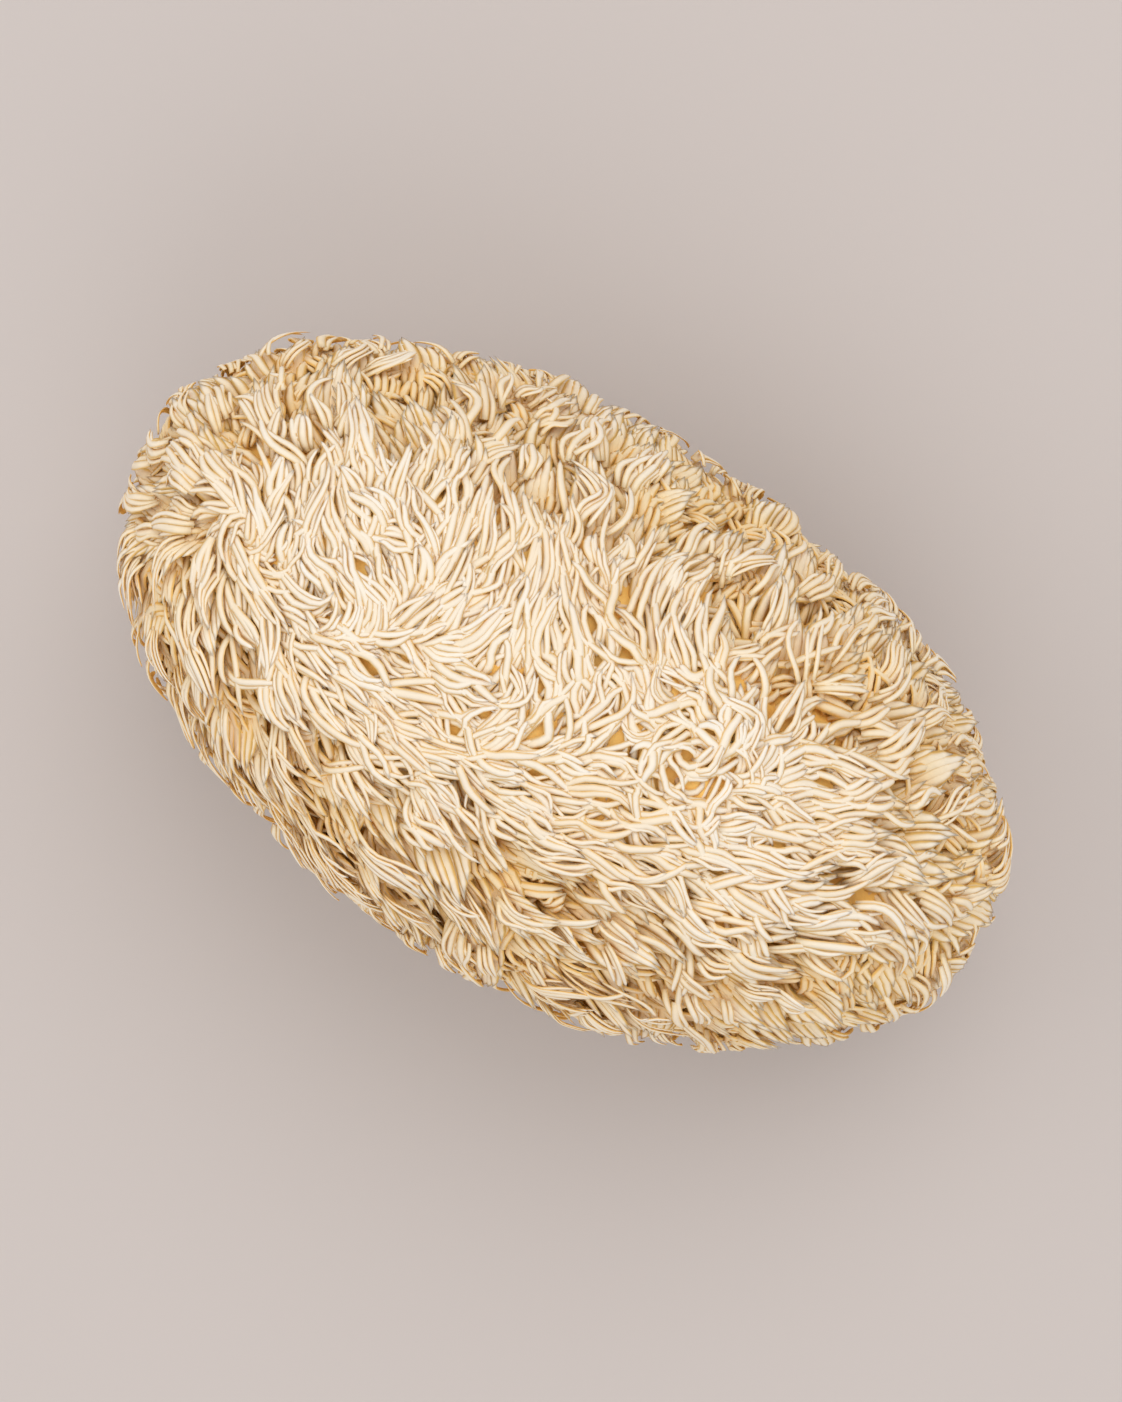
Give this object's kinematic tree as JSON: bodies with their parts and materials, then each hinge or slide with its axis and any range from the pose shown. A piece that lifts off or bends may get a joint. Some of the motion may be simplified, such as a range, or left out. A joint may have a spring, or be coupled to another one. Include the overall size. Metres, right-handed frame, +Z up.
{
  "type": "lion's mane mushroom",
  "caption": "Whole dried lion's mane mushroom head, a long rounded body coated in short matted cream spines, resting on the flat cut where it left the wood.",
  "frame": {"origin": "middle of the footprint, on the plane of the flat cut", "axes": "+X along the head's long axis towards the blunt end under the crown, +Y across it, +Z up from the cut to the crown"},
  "size_m": [0.082, 0.0486, 0.046],
  "materials": {
    "dried_spines": "matte",
    "cut_flesh": "matte"
  },
  "bodies": {
    "root": {"fruiting_body": "dried_spines"}
  },
  "joints": []
}
